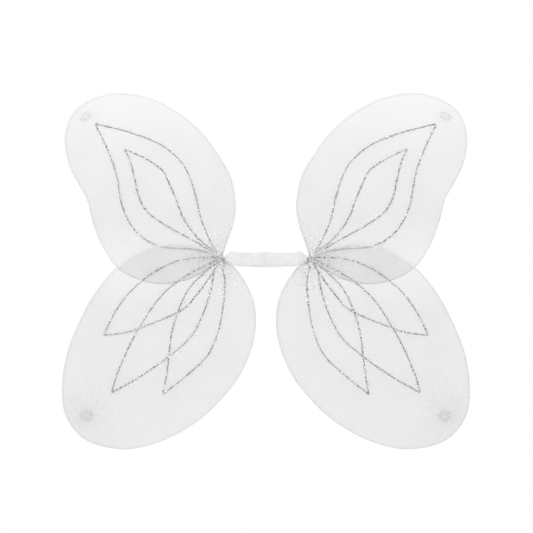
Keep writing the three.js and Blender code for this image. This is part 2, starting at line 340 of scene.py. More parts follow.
# How much of what lies behind it one layer of net hides, and the share of that at each height of
# the drawing: it is thinner towards the upper tip, and where the wings cross it is thinner as
# painted light, which lightens the crossing in place of light that passes through the stacked layers
NET_COVER = 0.31
THINNING_SPAN = 500  # the height of drawing, in millimetres, that the thinning's ramp takes in
THINNING_AND_PAINTED_LIGHT = {
    "upper": [
        (-40, 0.7), (0, 0.7), (45, 1.0), (65, 0.98), (100, 0.87), (125, 0.82), (150, 0.69),
        (175, 0.49), (200, 0.36),
    ],
    "lower": [(-235, 1.0), (-60, 1.0), (-15, 0.7), (20, 0.65)],
}
# Where the net is drawn together: how far the gathers reach, in millimetres, and how dense they are
TIP_REACH = {"upper": 8, "lower": 13}
TIP_GATHER = {"upper": 0.25, "lower": 0.52}
TIP_STREAKS = 11.0
HUB_STREAKS = 24.0
HUB_REACH = 15
HUB_GATHER = {"upper": 0.35, "lower": 0.65}
MOST_COVER = 0.92  # where many layers lie together


def sheer_nylon(kind):
    """Knitted nylon, 15 denier, stretched over the frame: white, matt, nearly see-through, and
    denser where it is drawn together at the hub and at the tip."""
    material, tree = new_material(f"sheer_nylon_{kind}")
    uv = add(tree, "ShaderNodeUVMap", uv_map="drawing")
    # Courses and wales are 0.3 mm apart, drawn five times as coarse so that they show
    knit = add(tree, "ShaderNodeTexNoise", {"Vector": uv, "Scale": 1 / (1.5 * MM), "Detail": 2.0})
    cloud = add(tree, "ShaderNodeTexNoise", {"Vector": uv, "Scale": 1 / (60 * MM), "Detail": 2.0})
    grain = add(tree, "ShaderNodeMath", {0: knit, 1: 0.10, 2: 0.90}, operation="MULTIPLY_ADD")
    haze = add(tree, "ShaderNodeMath", {0: cloud, 1: 0.45, 2: 0.78}, operation="MULTIPLY_ADD")
    uneven = add(tree, "ShaderNodeMath", {0: grain, 1: haze}, operation="MULTIPLY")
    height = add(tree, "ShaderNodeSeparateXYZ", {0: uv}).outputs["Y"]
    place = add(
        tree, "ShaderNodeMath", {0: height, 1: 1 / (THINNING_SPAN * MM), 2: 0.5},
        operation="MULTIPLY_ADD",
    )
    # Thinner towards the upper tip, and thinner where the wings cross as painted light that stands in for
    # light passing through the stacked layers
    shares = [(0.5 + z / THINNING_SPAN, share) for z, share in THINNING_AND_PAINTED_LIGHT[kind]]
    thinning_and_painted_light = add(tree, "ShaderNodeValToRGB", {"Fac": place}, stops=shares)
    cover = add(tree, "ShaderNodeMath", {0: thinning_and_painted_light, 1: NET_COVER}, operation="MULTIPLY")
    open_net = add(tree, "ShaderNodeMath", {0: uneven, 1: cover}, operation="MULTIPLY")
    at_hub = gathers(tree, uv, HUB, HUB_REACH, HUB_STREAKS)
    at_tip = gathers(tree, uv, KNOT[kind], TIP_REACH[kind], TIP_STREAKS)
    with_hub = add(
        tree, "ShaderNodeMath", {0: at_hub, 1: HUB_GATHER[kind], 2: open_net},
        operation="MULTIPLY_ADD",
    )
    with_tip = add(
        tree, "ShaderNodeMath", {0: at_tip, 1: TIP_GATHER[kind], 2: with_hub},
        operation="MULTIPLY_ADD",
    )
    density = add(tree, "ShaderNodeMath", {0: with_tip, 1: MOST_COVER}, operation="MINIMUM")
    bump = add(tree, "ShaderNodeBump", {"Height": knit, "Strength": 0.25, "Distance": 0.1 * MM})
    cloth = add(
        tree, "ShaderNodeBsdfPrincipled",
        {
            "Base Color": linear("#d5d5d6"), "Roughness": 0.75, "Sheen Weight": 0.15,
            "Alpha": density, "Normal": bump, "Specular IOR Level": 0.3,
        },
    )
    add(tree, "ShaderNodeOutputMaterial", {"Surface": cloth})
    return material


def gathered_nylon(kind, cover):
    """The same nylon bunched into a knot, with soft creases. Its colour, whiter than the net's, and its
    low cover are painted light, brightening the bun in place of the light that reaches it through the
    net, and its colour is darker in the creases' hollows as painted shade. cover is how much of what
    lies behind it each side hides."""
    material, tree = new_material(f"gathered_nylon_{kind}")
    place = add(tree, "ShaderNodeTexCoord").outputs["Object"]
    crease = add(
        tree, "ShaderNodeTexNoise", {"Vector": place, "Scale": 1 / (1.2 * MM), "Detail": 3.0}
    )
    bump = add(tree, "ShaderNodeBump", {"Height": crease, "Strength": 0.4, "Distance": 0.2 * MM})
    # Painted shade: darker in the creases' hollows; painted light: near white elsewhere
    tones = [(0.3, linear("#ececec")), (0.7, linear("#fcfcfc"))]
    colour = add(tree, "ShaderNodeValToRGB", {"Fac": crease}, stops=tones)
    # Painted light: the bun hides little of the bright room behind it, least in the creases' hollows
    painted_light_cover = add(
        tree, "ShaderNodeMath", {0: crease, 1: 0.8, 2: cover - 0.4},
        operation="MULTIPLY_ADD", use_clamp=True,
    )
    cloth = add(
        tree, "ShaderNodeBsdfPrincipled",
        {
            "Base Color": colour, "Roughness": 0.8, "Sheen Weight": 0.2, "Normal": bump,
            "Alpha": painted_light_cover,
        },
    )
    add(tree, "ShaderNodeOutputMaterial", {"Surface": cloth})
    return material


def coated_wire():
    """Steel wire in a skin of white PVC: smooth, with a soft highlight and faint scuffs."""
    material, tree = new_material("white_pvc_coated_wire")
    place = add(tree, "ShaderNodeTexCoord").outputs["Object"]
    scuff = add(
        tree, "ShaderNodeTexNoise", {"Vector": place, "Scale": 1 / (4 * MM), "Detail": 4.0}
    )
    tones = [(0.35, linear("#f0f0f0")), (0.65, linear("#f8f8f8"))]
    colour = add(tree, "ShaderNodeValToRGB", {"Fac": scuff}, stops=tones)
    roughness = add(tree, "ShaderNodeMath", {0: scuff, 1: 0.2, 2: 0.3}, operation="MULTIPLY_ADD")
    skin = add(
        tree, "ShaderNodeBsdfPrincipled",
        {"Base Color": colour, "Roughness": roughness, "IOR": 1.53},
    )
    add(tree, "ShaderNodeOutputMaterial", {"Surface": skin})
    return material


def glitter_film():
    """Glitter: hexagons of aluminised polyester film. Each flake's colour carries a painted reflection,
    darker or lighter as if each flake mirrored another part of the room."""
    material, tree = new_material("aluminised_polyester_glitter")
    tone = add(tree, "ShaderNodeAttribute", attribute_name="flake_tone")
    tones = [(0.0, linear("#727376")), (0.5, linear("#c4c5c8")), (1.0, linear("#ffffff"))]
    colour = add(tree, "ShaderNodeValToRGB", {"Fac": tone}, stops=tones)
    film = add(
        tree, "ShaderNodeBsdfPrincipled",
        {"Base Color": colour, "Metallic": 1.0, "Roughness": 0.22},
    )
    add(tree, "ShaderNodeOutputMaterial", {"Surface": film})
    return material


def clear_glue():
    """Clear PVA glue: dries to a thin glassy bead that greys the net under the glitter."""
    material, tree = new_material("dried_pva_glue")
    place = add(tree, "ShaderNodeTexCoord").outputs["Object"]
    lumps = add(
        tree, "ShaderNodeTexNoise", {"Vector": place, "Scale": 1 / (0.9 * MM), "Detail": 2.0}
    )
    bump = add(tree, "ShaderNodeBump", {"Height": lumps, "Strength": 0.6, "Distance": 0.15 * MM})
    alpha = add(tree, "ShaderNodeMath", {0: lumps, 1: 0.5, 2: 0.1}, operation="MULTIPLY_ADD")
    bead = add(
        tree, "ShaderNodeBsdfPrincipled",
        {
            "Base Color": linear("#a3a4a8"), "Roughness": 0.3, "IOR": 1.46,
            "Alpha": alpha, "Normal": bump,
        },
    )
    add(tree, "ShaderNodeOutputMaterial", {"Surface": bead})
    return material


def brushed_fleece():
    """Brushed polyester knit over wadding: white, matt, with a soft nap."""
    material, tree = new_material("brushed_polyester_fleece")
    place = add(tree, "ShaderNodeTexCoord").outputs["Object"]
    nap = add(
        tree, "ShaderNodeTexNoise", {"Vector": place, "Scale": 1 / (0.8 * MM), "Detail": 5.0}
    )
    patches = add(
        tree, "ShaderNodeTexNoise", {"Vector": place, "Scale": 1 / (9 * MM), "Detail": 2.0}
    )
    tones = [(0.3, linear("#e1e1e1")), (0.7, linear("#eaeaea"))]
    colour = add(tree, "ShaderNodeValToRGB", {"Fac": patches}, stops=tones)
    bump = add(tree, "ShaderNodeBump", {"Height": nap, "Strength": 0.5, "Distance": 0.25 * MM})
    cloth = add(
        tree, "ShaderNodeBsdfPrincipled",
        {
            "Base Color": colour, "Roughness": 0.95, "Sheen Weight": 0.35,
            "Sheen Roughness": 0.6, "Normal": bump, "Specular IOR Level": 0.2,
        },
    )
    add(tree, "ShaderNodeOutputMaterial", {"Surface": cloth})
    return material


def woven_elastic():
    """Woven elastic: covered rubber cords lie lengthwise, crossed by fine white weft."""
    material, tree = new_material("woven_elastic")
    uv = add(tree, "ShaderNodeUVMap", uv_map="weave")
    pitch = 1.086 * MM
    scale = math.pi / 10 / pitch  # since a wave texture of scale 1 repeats every pi / 10
    weft = add(
        tree, "ShaderNodeTexWave", {"Vector": uv, "Scale": scale, "Distortion": 0.6},
        bands_direction="Y",
    )
    bump = add(tree, "ShaderNodeBump", {"Height": weft, "Strength": 0.5, "Distance": 0.1 * MM})
    # Painted shade: darker in the grooves between the weft threads
    tones = [(0.0, linear("#d9d9d8")), (0.6, linear("#f1f1f0"))]
    colour = add(tree, "ShaderNodeValToRGB", {"Fac": weft}, stops=tones)
    cloth = add(
        tree, "ShaderNodeBsdfPrincipled",
        {"Base Color": colour, "Roughness": 0.85, "Sheen Weight": 0.1, "Normal": bump},
    )
    add(tree, "ShaderNodeOutputMaterial", {"Surface": cloth})
    return material


def noise_cloth(name, dark, light, size_mm, bump_mm, roughness=0.9, metallic=0.0):
    """Plain stuff with a fine grain: the grain's size and depth are in millimetres."""
    material, tree = new_material(name)
    place = add(tree, "ShaderNodeTexCoord").outputs["Object"]
    grain = add(
        tree, "ShaderNodeTexNoise", {"Vector": place, "Scale": 1 / (size_mm * MM), "Detail": 4.0}
    )
    tones = [(0.3, linear(dark)), (0.7, linear(light))]
    colour = add(tree, "ShaderNodeValToRGB", {"Fac": grain}, stops=tones)
    bump = add(
        tree, "ShaderNodeBump", {"Height": grain, "Strength": 0.5, "Distance": bump_mm * MM}
    )
    stuff = add(
        tree, "ShaderNodeBsdfPrincipled",
        {"Base Color": colour, "Roughness": roughness, "Metallic": metallic, "Normal": bump},
    )
    add(tree, "ShaderNodeOutputMaterial", {"Surface": stuff})
    return material


NYLON = {kind: sheer_nylon(kind) for kind in ("upper", "lower")}
BUNCHED = {"upper": gathered_nylon("upper", 0.22), "lower": gathered_nylon("lower", 0.3)}
WIRE = coated_wire()
GLITTER = glitter_film()
GLUE = clear_glue()
FLEECE = brushed_fleece()
ELASTIC = woven_elastic()
THREAD = noise_cloth("polyester_thread", "#d8d8d6", "#f2f2f0", 0.4, 0.05)
FELT = noise_cloth("wool_felt", "#e2e2df", "#f3f3f1", 0.7, 0.2, 1.0)
WADDING = noise_cloth("polyester_wadding", "#e9e7e0", "#f7f6f2", 1.5, 0.4, 1.0)
CRIMP = noise_cloth("crimped_aluminium", "#a2a4a7", "#bfc1c4", 0.6, 0.02, 0.4, 1.0)

# ---------------------------------------------------------------- camera, light and floor

VIEW_WIDTH = 0.6516  # what the camera takes in from side to side at the wings, in metres
CAMERA_DISTANCE = 4.0
SENSOR = 36.0  # in millimetres
VIEW_CENTRE = (0.0007, BAND_MIDDLE, -0.0088)
SOFTBOX_PLACE = (-1.1, -2.0, 1.5)
SOFTBOX_WIDTH = 1.6
SOFTBOX_POWER = 13  # in watts
ROOM_LIGHT = 0.92  # how bright the white room is as a light; the camera sees it at 1


def camera_and_lights():
    camera_data = bpy.data.cameras.new("camera")
    camera_data.sensor_width = SENSOR
    camera_data.lens = SENSOR * CAMERA_DISTANCE / VIEW_WIDTH
    camera_data.clip_end = 50
    camera = bpy.data.objects.new("camera", camera_data)
    camera.location = (VIEW_CENTRE[0], VIEW_CENTRE[1] - CAMERA_DISTANCE, VIEW_CENTRE[2])
    camera.rotation_euler = (math.radians(90), 0, 0)
    bpy.context.scene.collection.objects.link(camera)
    bpy.context.scene.camera = camera

    softbox_data = bpy.data.lights.new("softbox", "AREA")
    softbox_data.shape = "DISK"
    softbox_data.size = SOFTBOX_WIDTH
    softbox_data.energy = SOFTBOX_POWER
    softbox = bpy.data.objects.new("softbox", softbox_data)
    softbox.location = SOFTBOX_PLACE
    softbox.rotation_euler = (-Vector(SOFTBOX_PLACE)).to_track_quat("-Z", "Y").to_euler()
    bpy.context.scene.collection.objects.link(softbox)

    # The room is white to the eye and a little dimmer as a light, so that forms keep some shade
    world = bpy.data.worlds.new("studio")
    world.use_nodes = True
    tree = world.node_tree
    tree.nodes.clear()
    seen = add(tree, "ShaderNodeLightPath").outputs["Is Camera Ray"]
    strength = add(
        tree, "ShaderNodeMath", {0: seen, 1: 1 - ROOM_LIGHT, 2: ROOM_LIGHT},
        operation="MULTIPLY_ADD",
    )
    room = add(tree, "ShaderNodeBackground", {"Color": linear("#ffffff"), "Strength": strength})
    add(tree, "ShaderNodeOutputWorld", {"Surface": room})
    bpy.context.scene.world = world
    bpy.context.scene.view_settings.view_transform = "Standard"
    bpy.context.scene.view_settings.look = "None"


def pale_floor():
    half, level = 3.1, -0.6  # half its width and its height, in metres
    material, tree = new_material("pale_floor")
    paint = add(
        tree, "ShaderNodeBsdfPrincipled", {"Base Color": linear("#f9f9f8"), "Roughness": 0.8}
    )
    add(tree, "ShaderNodeOutputMaterial", {"Surface": paint})
    corners = [(x * half, y * half, level) for x, y in ((-1, -1), (1, -1), (1, 1), (-1, 1))]
    floor = mesh_piece("floor", corners, [(0, 1, 2, 3)], material)


camera_and_lights()
pale_floor()

# ---------------------------------------------------------------- frame wires and nets


def wing_body(side, kind):
    return f"{side}_{kind}_wing"


def frame_wire(side, kind):
    line = on_wing(side, kind, smooth(OUTLINE[kind], 8))
    wire = swept_piece(f"{side}_{kind}_wire", line, circle(WIRE_RADIUS, 12), WIRE)
    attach(wire, wing_body(side, kind))
    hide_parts(f"{side}_{kind}_frame_wire")
    return wire


NET_ROWS = 190  # from the hub to the tip
NET_ACROSS = 120  # across one layer
RIM_STEPS = 8  # round the wire
PLEATS = 17
PLEAT_HEIGHT = 0.55  # of the hub's pleats, in millimetres
PUCKERS = 16  # round a tip knot, behind the wing
PUCKER_HEIGHT = 0.9


def slack(x, z):
    """How far the net stands off its flat plane, in millimetres: the stretch isn't even."""
    broad = 0.22 * np.sin(x / 21 + 1.3) * np.sin(z / 27 + 0.4)
    return broad + 0.1 * np.sin((x + z) / 11)


def swell(distance, fall, rise):
    """0 at no distance, highest a little way off, and fading beyond it."""
    return np.exp(-distance / fall) * (1 - np.exp(-distance / rise))


def hub_pleats(distance):
    """How strongly the net is pleated at a distance along it from the hub."""
    return swell(distance, 26, 6)


def net_sides(kind):
    """The frame's two sides, each from its tail to the tip, with their outward directions."""
    whole = smooth(OUTLINE[kind], 24)
    step = np.gradient(whole, axis=0)
    turned = np.stack([step[:, 1], -step[:, 0]], axis=1)
    turned /= np.linalg.norm(turned, axis=1)[:, None]
    area = np.sum(whole[:-1, 0] * whole[1:, 1] - whole[1:, 0] * whole[:-1, 1])
    if area < 0:
        turned = -turned
    towards = np.array(KNOT[kind], float) / np.linalg.norm(KNOT[kind])
    tip = int(np.argmax(whole @ towards))
    first = (whole[: tip + 1], turned[: tip + 1])
    second = (whole[tip:][::-1], turned[tip:][::-1])
    return first, second


def spread(total):
    """Distances of the rows along one side: close together at the hub."""
    w = np.linspace(0, 1, NET_ROWS)
    even_share, crowding = 0.25, 1.7
    return total * (even_share * w + (1 - even_share) * w**crowding)


def rows_along(line, out):
    """Where the rows of a net meet one side of the frame: distances, points and directions."""
    along = lengths(line)
    distances = spread(along[-1])
    turned = np.stack([np.interp(distances, along, out[:, k]) for k in (0, 1)], axis=1)
    return distances, at(line, distances), turned / np.linalg.norm(turned, axis=1)[:, None]


def net(side, kind):
    """A tube of net pulled over the frame: each row is a closed loop, across the front, round
    one wire, back across the rear and round the other wire."""
    (d1, p1, n1), (d2, p2, n2) = (rows_along(*half) for half in net_sides(kind))
    u = np.linspace(0, 1, NET_ACROSS + 1)[None, :]
    layer = p1[:, None, :] * (1 - u[..., None]) + p2[:, None, :] * u[..., None]
    x, z = layer[..., 0], layer[..., 1]
    loose = slack(x, z)
    ridge = PLEAT_HEIGHT * hub_pleats(((d1 + d2) / 2)[:, None])
    pleat_angle = PLEATS * 2 * math.pi * u
    front = -ridge * (0.5 + 0.5 * np.sin(pleat_angle)) + loose
    back = ridge * (0.5 + 0.5 * np.sin(pleat_angle + 2)) + loose
    from_knot = np.hypot(x - KNOT[kind][0], z - KNOT[kind][1])
    knot_angle = np.arctan2(z - KNOT[kind][1], x - KNOT[kind][0])
    pucker = PUCKER_HEIGHT * swell(from_knot, 11, 4)
    back = back + pucker * (0.5 + 0.5 * np.sin(PUCKERS * knot_angle))
    held = np.clip(7 * np.minimum(u, 1 - u), 0, 1)  # nothing stands off next to the wires
    r = NET_RADIUS / MM
    phi = np.linspace(-math.pi / 2, math.pi / 2, RIM_STEPS + 1)[1:-1]
    rim2 = p2[:, None, :] + n2[:, None, :] * (r * np.cos(phi))[None, :, None]
    rim1 = p1[:, None, :] + n1[:, None, :] * (r * np.cos(phi[::-1]))[None, :, None]
    flat = np.concatenate([layer, rim2, layer[:, ::-1], rim1], axis=1)
    ones = np.ones((NET_ROWS, 1))
    round2 = ones * r * np.sin(phi)[None, :]
    round1 = ones * r * np.sin(phi[::-1])[None, :]
    depth = np.concatenate([-r + front * held, round2, (r + back * held)[:, ::-1], round1], axis=1)
    columns = flat.shape[1]
    points = on_wing(side, kind, flat)
    points[:, 1] += depth.ravel() * MM
    faces = grid_faces(NET_ROWS, columns, around=True)
    faces.append(tuple(range(columns)))
    piece = mesh_piece(f"{side}_{kind}_nylon", points, faces, NYLON[kind])
    map_piece(piece, "drawing", flat.reshape(-1, 2) * MM)
    outward(piece)
    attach(piece, wing_body(side, kind))
    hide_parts(f"{side}_{kind}_net")
    outline = smooth(OUTLINE[kind], 8)
    x, z = outline[:, 0], outline[:, 1]
    return piece


# ---------------------------------------------------------------- what repeats


def repeat_tree(name, sizes):
    """A geometry tree with a Path input, these named inputs, and its input node."""
    tree = bpy.data.node_groups.new(name, "GeometryNodeTree")
    tree.interface.new_socket("Path", in_out="INPUT", socket_type="NodeSocketGeometry")
    for label, kind in sizes.items():
        tree.interface.new_socket(label, in_out="INPUT", socket_type=f"NodeSocket{kind}")
    tree.interface.new_socket("Made", in_out="OUTPUT", socket_type="NodeSocketGeometry")
    return tree, add(tree, "NodeGroupInput").outputs


def end_tree(tree, instances, material):
    real = add(tree, "GeometryNodeRealizeInstances", {"Geometry": instances})
    made = add(tree, "GeometryNodeSetMaterial", {"Geometry": real, "Material": material})
    add(tree, "NodeGroupOutput", {0: made})


def run_tree(tree, host, name, sizes):
    """A new plain mesh: what the tree makes of the host object's mesh."""
    modifier = host.modifiers.new("repeat", "NODES")
    modifier.node_group = tree
    identifiers = {
        item.name: item.identifier for item in tree.interface.items_tree if item.in_out == "INPUT"
    }
    for label, value in sizes.items():
        modifier[identifiers[label]] = value
    seen = host.evaluated_get(bpy.context.evaluated_depsgraph_get())
    made = bpy.data.objects.new(name, bpy.data.meshes.new_from_object(seen))
    host.modifiers.remove(modifier)
    bpy.context.scene.collection.objects.link(made)
    return made


def flake_tree():
    """Glitter flakes: hexagons scattered over the front of the path's faces, as thickly as its
    attribute flakes_per_area says, each at its own tilt. Each flake's stored tone is a painted
    reflection: how bright it looks as if it mirrored the room, shared by the flakes of a clump."""
    tree, given = repeat_tree(
        "glitter_flakes",
        {
            "Flake Radius": "Float", "Flake Thickness": "Float", "Tilt": "Float",
            "Clump Size": "Float", "Seed": "Int", "Film": "Material",
        },
    )
    edge_on = 0.3  # faces turned further away than this hold no flakes
    smallest, largest = 0.65, 1.2
    own_tone = 0.42  # how far a flake's painted reflection differs from its clump's
    contrast, shift = 4.0, -1.45  # from noise to a clump's painted reflection
    normal = add(tree, "GeometryNodeInputNormal")
    facing = add(tree, "ShaderNodeSeparateXYZ", {0: normal}).outputs["Y"]
    flatness = add(tree, "ShaderNodeMath", {0: facing}, operation="ABSOLUTE")
    front = add(tree, "ShaderNodeMath", {0: flatness, 1: edge_on}, operation="GREATER_THAN")
    thickly = add(
        tree, "GeometryNodeInputNamedAttribute", {"Name": "flakes_per_area"}, data_type="FLOAT"
    )
    scattered = add(
        tree, "GeometryNodeDistributePointsOnFaces",
        {
            "Mesh": given["Path"], "Selection": front,
            "Density": thickly, "Seed": given["Seed"],
        },
    )
    flake = add(
        tree, "GeometryNodeMeshCylinder",
        {"Vertices": 6, "Radius": given["Flake Radius"], "Depth": given["Flake Thickness"]},
    )
    lean = add(
        tree, "ShaderNodeCombineXYZ", {"X": given["Tilt"], "Y": given["Tilt"], "Z": math.pi}
    )
    back = add(tree, "ShaderNodeVectorMath", {0: lean, "Scale": -1.0}, operation="SCALE")
    turn = add(
        tree, "FunctionNodeRandomValue", {0: back, 1: lean, "Seed": given["Seed"]},
        data_type="FLOAT_VECTOR",
    )
    turned = add(tree, "FunctionNodeEulerToRotation", {0: turn})
    rotation = add(
        tree, "FunctionNodeRotateRotation", {0: scattered.outputs["Rotation"], 1: turned},
        rotation_space="LOCAL",
    )
    size = add(
        tree, "FunctionNodeRandomValue", {2: smallest, 3: largest, "Seed": given["Seed"]},
        data_type="FLOAT",
    ).outputs[1]
    instances = add(
        tree, "GeometryNodeInstanceOnPoints",
        {
            "Points": scattered.outputs["Points"], "Instance": flake,
            "Rotation": rotation, "Scale": size,
        },
    )
    # Painted reflection: each flake's brightness, partly its own and partly its clump's
    own = add(
        tree, "FunctionNodeRandomValue", {2: -own_tone, 3: own_tone, "Seed": 11},
        data_type="FLOAT",
    ).outputs[1]
    place = add(tree, "GeometryNodeInputPosition")
    finer = add(tree, "ShaderNodeMath", {0: 1.0, 1: given["Clump Size"]}, operation="DIVIDE")
    clump = add(tree, "ShaderNodeTexNoise", {"Vector": place, "Scale": finer, "Detail": 1.0})
    common = add(
        tree, "ShaderNodeMath", {0: clump, 1: contrast, 2: shift}, operation="MULTIPLY_ADD"
    )
    tone = add(tree, "ShaderNodeMath", {0: own, 1: common}, operation="ADD", use_clamp=True)
    toned = add(
        tree, "GeometryNodeStoreNamedAttribute",
        {"Geometry": instances, "Name": "flake_tone", "Value": tone},
        data_type="FLOAT", domain="INSTANCE",
    )
    end_tree(tree, toned, given["Film"])
    return tree


def stitch_tree():
    """Stitches: a short plump length of thread laid along every edge of the path."""
    tree, given = repeat_tree(
        "stitches", {"Thread Radius": "Float", "Share Of Edge": "Float", "Thread": "Material"}
    )
    ends = add(tree, "GeometryNodeInputMeshEdgeVertices").outputs
    run = add(
        tree, "ShaderNodeVectorMath", {0: ends["Position 2"], 1: ends["Position 1"]},
        operation="SUBTRACT",
    )
    kept = add(tree, "GeometryNodeCaptureAttribute", {"Geometry": given["Path"]}, domain="EDGE")
    kept.capture_items.new("VECTOR", "Run")
    tree.links.new(run.outputs[0], kept.inputs["Run"])
    points = add(
        tree, "GeometryNodeMeshToPoints", {"Mesh": kept.outputs["Geometry"]}, mode="EDGES"
    )
    laid = add(
        tree, "FunctionNodeAlignRotationToVector", {"Vector": kept.outputs["Run"]}, axis="X"
    )
    length = add(
        tree, "ShaderNodeVectorMath", {0: kept.outputs["Run"]}, operation="LENGTH"
    ).outputs["Value"]
    half_edge = add(tree, "ShaderNodeMath", {0: length, 1: 0.5}, operation="MULTIPLY")
    half = add(
        tree, "ShaderNodeMath", {0: half_edge, 1: given["Share Of Edge"]}, operation="MULTIPLY"
    )
    size = add(
        tree, "ShaderNodeCombineXYZ",
        {"X": half, "Y": given["Thread Radius"], "Z": given["Thread Radius"]},
    )
    bead = add(tree, "GeometryNodeMeshUVSphere", {"Segments": 6, "Rings": 5, "Radius": 1.0})
    lying = add(
        tree, "GeometryNodeTransform", {"Geometry": bead, "Rotation": (0, math.pi / 2, 0)}
    )
    soft = add(tree, "GeometryNodeSetShadeSmooth", {"Geometry": lying})
    instances = add(
        tree, "GeometryNodeInstanceOnPoints",
        {"Points": points, "Instance": soft, "Rotation": laid, "Scale": size},
    )
    end_tree(tree, instances, given["Thread"])
    return tree


FLAKES = flake_tree()
STITCHES = stitch_tree()
# Radii of the threads, in millimetres
THREAD_RADIUS = 0.2
SEAM_THREAD = 0.1
KNOT_THREAD = 0.18
TIE_THREAD = 0.17


def stitching(name, runs, radius=THREAD_RADIUS):
    """Stitches on the band, one from the first to the second point of each run, in metres."""
    mesh = bpy.data.meshes.new(name + "_path")
    points = [tuple(point) for run in runs for point in run]
    mesh.from_pydata(points, [(2 * k, 2 * k + 1) for k in range(len(runs))], [])
    host = bpy.data.objects.new(name + "_path", mesh)
    bpy.context.scene.collection.objects.link(host)
    sizes = {"Thread Radius": radius * MM, "Share Of Edge": 1.05, "Thread": THREAD}
    made = run_tree(STITCHES, host, name, sizes)
    bpy.data.objects.remove(host)
    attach(made, "band")


def dashes(line, pitch, share=0.7):
    """Runs of a straight stitch along a line of points: each is a share of the pitch long."""
    total = lengths(line)[-1]
    count = max(1, int(round(total / pitch)))
    starts = np.arange(count) * total / count
    first = at(line, starts + (1 - share) / 2 * total / count)
    second = at(line, starts + (1 + share) / 2 * total / count)
    return list(zip(first, second))


# ---------------------------------------------------------------- glitter

BEAD_WIDTH = 1.8
BEAD_HEIGHT = 0.3
# Flakes are 0.4 mm across, drawn 0.7 mm across so that single ones show
FLAKE_RADIUS = 0.35
FLAKE_THICKNESS = 0.05
FLAKES_PER_MM2 = 3.4
STRAY_WIDTH = 7.0  # loose flakes lie this wide about a line
STRAY_PER_MM2 = 0.16
HUB_SPRINKLE = 44.0  # and this far about the hub
HUB_SPRINKLE_PER_MM2 = 1.1
START = {"upper": (8, 2.6), "lower": (8, -0.6)}  # the middle of that sprinkle


def bead_section():
    side = BEAD_WIDTH / 2
    return MM * np.array(
        [
            (0.08, -side), (-0.6 * BEAD_HEIGHT, -0.7 * side), (-BEAD_HEIGHT, -0.25 * side),
            (-BEAD_HEIGHT, 0.25 * side), (-0.6 * BEAD_HEIGHT, 0.7 * side), (0.08, side),
        ]
    )


def glitter(side, kind):
    """Leaf outlines drawn on the net with a bead of clear glue, strewn with flakes. Some flakes
    lie loose beside the lines, and more about the hub, where all the lines meet."""
    section = bead_section()
    edge = STRAY_WIDTH / 2 * MM
    loose_section = np.array([(-0.0001, -edge), (-0.0001, 0), (-0.0001, edge)])
    points, faces = [], []
    strewn, strewn_faces, density = [], [], []
    draw = np.random.default_rng(5)
    for leaf in LEAVES[kind]:
        line = smooth(leaf, 10)
        line = at(line, np.arange(0, lengths(line)[-1], 1.3))
        raised = -NET_RADIUS / MM + slack(line[:, 0], line[:, 1])
        raised -= (PLEAT_HEIGHT + 0.05) * hub_pleats(np.hypot(line[:, 0], line[:, 1]))
        placed = on_wing(side, kind, line)
        placed[:, 1] += (raised - 0.05) * MM
        steady = np.convolve(draw.normal(0, 1, len(line) + 8), np.ones(5) / 5, "valid")[: len(line)]
        wide = np.clip(1 + 0.3 * steady, 0.6, 1.5) * (0.6 + 0.4 * eased(lengths(line), 0, 25))
        bead = list(swept(placed, section, scale=wide))
        faces += swept_faces(len(line), len(section), start=len(points))
        points += bead
        strewn_faces += grid_faces(len(line), len(section), start=len(strewn))
        strewn += bead
        from_start = np.repeat(lengths(line), len(section))
        density += list(FLAKES_PER_MM2 * (0.3 + 0.7 * eased(from_start, 0, 32)))
        beside = list(swept(placed, loose_section))
        strewn_faces += grid_faces(len(line), 3, start=len(strewn), flip=side == "left")
        strewn += beside
        density += [0, STRAY_PER_MM2 * 2, 0] * len(line)
    rings, spokes = 14, 48
    reach = np.linspace(0.5, HUB_SPRINKLE, rings)
    turn = np.arange(spokes) * 2 * math.pi / spokes
    centre = np.array(START[kind])
    disc = centre + np.stack(
        [np.outer(reach, np.cos(turn)).ravel(), np.outer(reach, np.sin(turn)).ravel()], axis=1
    )
    placed = on_wing(side, kind, disc, depth=-NET_RADIUS - 0.6 * MM)
    strewn_faces += grid_faces(rings, spokes, around=True, start=len(strewn))
    strewn += list(placed)
    inside = within(disc, smooth(OUTLINE[kind], 6))
    density += list(HUB_SPRINKLE_PER_MM2 * np.exp(-np.repeat(reach, spokes) / 14) * inside)

    bead = outward(mesh_piece(f"{side}_{kind}_glue", points, faces, GLUE))
    host = mesh_piece("strewn", strewn, strewn_faces, GLUE)
    spread_out = host.data.attributes.new("flakes_per_area", "FLOAT", "POINT")
    spread_out.data.foreach_set("value", np.array(density, np.float32) / MM**2)
    flakes = run_tree(
        FLAKES, host, f"{side}_{kind}_flakes",
        {
            "Flake Radius": FLAKE_RADIUS * MM, "Flake Thickness": FLAKE_THICKNESS * MM,
            "Tilt": 0.5, "Clump Size": 1.9 * MM, "Seed": 3, "Film": GLITTER,
        },
    )
    bpy.data.objects.remove(host)
    for piece in (bead, flakes):
        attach(piece, wing_body(side, kind))
    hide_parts(f"{side}_{kind}_glitter")


# ---------------------------------------------------------------- knots and ties


def on_oval(kind, share, angle):
    """Points of the drawing on a tip knot's oval, at a share of its full size."""
    half_length, half_width, tilt = KNOT_SIZE[kind]
    out = half_length * share * np.cos(angle)
    up = half_width * share * np.sin(angle)
    turned_out = out * math.cos(tilt) - up * math.sin(tilt)
    turned_up = out * math.sin(tilt) + up * math.cos(tilt)
    return np.stack([turned_out, turned_up], axis=1) + np.array(KNOT[kind])


